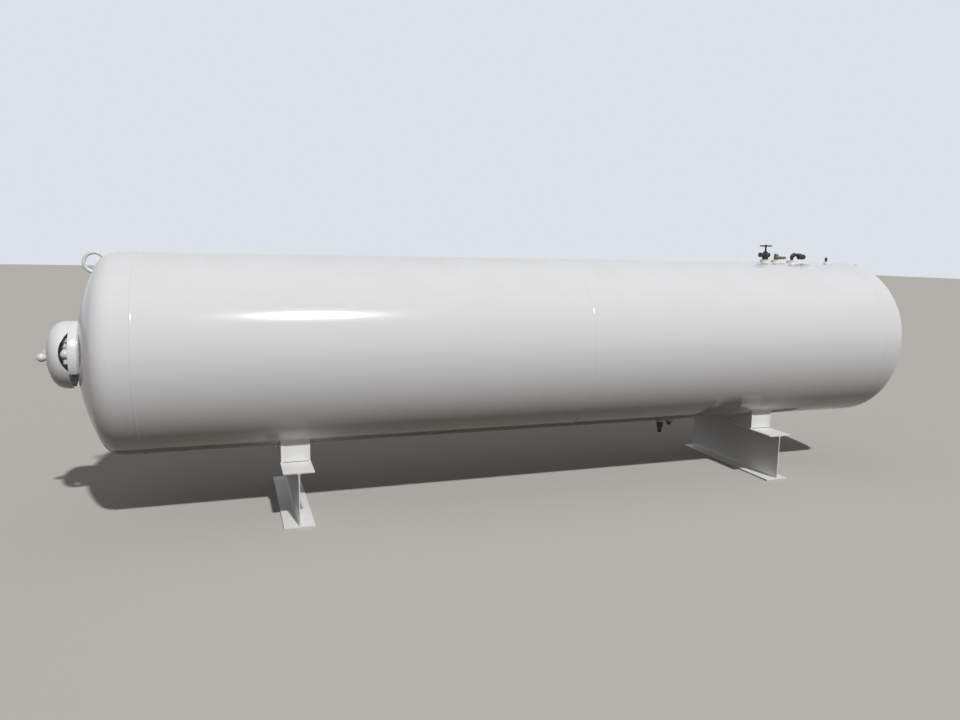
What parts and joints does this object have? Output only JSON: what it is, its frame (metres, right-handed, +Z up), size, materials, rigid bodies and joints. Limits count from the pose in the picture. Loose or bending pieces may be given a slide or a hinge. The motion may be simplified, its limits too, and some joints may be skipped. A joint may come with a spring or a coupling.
{
  "type": "horizontal pressure tank",
  "caption": "Horizontal cylindrical pressure tank with dished heads, lifting rings, top valves and a hood over the end fittings, carried by saddles on two cross beams.",
  "frame": {"origin": "on the floor under the middle of the whole length and width", "axes": "+X along the tank from the hooded end to the plain end, +Y across it to the back, +Z up"},
  "size_m": [5.386, 1.072, 1.5423],
  "materials": {
    "tank_enamel": "gloss white alkyd enamel on steel plate",
    "support_enamel": "white enamel on rolled steel, slightly duller than the tank",
    "hood_enamel": "white enamel on pressed steel",
    "fitting_enamel": "white enamel on forged couplings and valves",
    "dark_iron": "weathered dark cast iron",
    "aged_brass": "dull aged brass",
    "black_cap": "matt black moulded caps"
  },
  "bodies": {
    "root": {"shell_course_left": "tank_enamel", "shell_course_right": "tank_enamel", "head_left": "tank_enamel", "head_right": "tank_enamel", "girth_weld_left": "tank_enamel", "girth_weld_middle": "tank_enamel", "girth_weld_right": "tank_enamel", "lifting_ring_left": "tank_enamel", "lifting_ring_right": "tank_enamel", "cross_beam_left": "support_enamel", "cross_beam_right": "support_enamel", "saddle_side_left_outer": "support_enamel", "saddle_side_left_inner": "support_enamel", "saddle_end_left_front": "support_enamel", "saddle_end_left_back": "support_enamel", "saddle_side_right_inner": "support_enamel", "saddle_side_right_outer": "support_enamel", "saddle_end_right_front": "support_enamel", "saddle_end_right_back": "support_enamel", "hood_collar": "hood_enamel", "fittings_hood": "hood_enamel", "hood_stud": "hood_enamel", "hood_knob": "hood_enamel", "lock_lug": "hood_enamel", "end_coupling_front": "fitting_enamel", "end_valve_front": "fitting_enamel", "end_coupling_back": "fitting_enamel", "end_valve_back": "fitting_enamel", "outlet_coupling": "fitting_enamel", "outlet_elbow": "fitting_enamel", "service_coupling": "fitting_enamel", "service_valve": "dark_iron", "service_handwheel": "dark_iron", "brass_coupling": "fitting_enamel", "brass_valve": "aged_brass", "relief_coupling": "fitting_enamel", "relief_valve": "black_cap", "spare_coupling": "fitting_enamel", "vent_coupling": "fitting_enamel", "vent_plug": "black_cap", "drain_coupling": "fitting_enamel", "drain_valve": "dark_iron", "drain_plug_coupling": "fitting_enamel", "drain_plug": "dark_iron"}
  },
  "joints": []
}
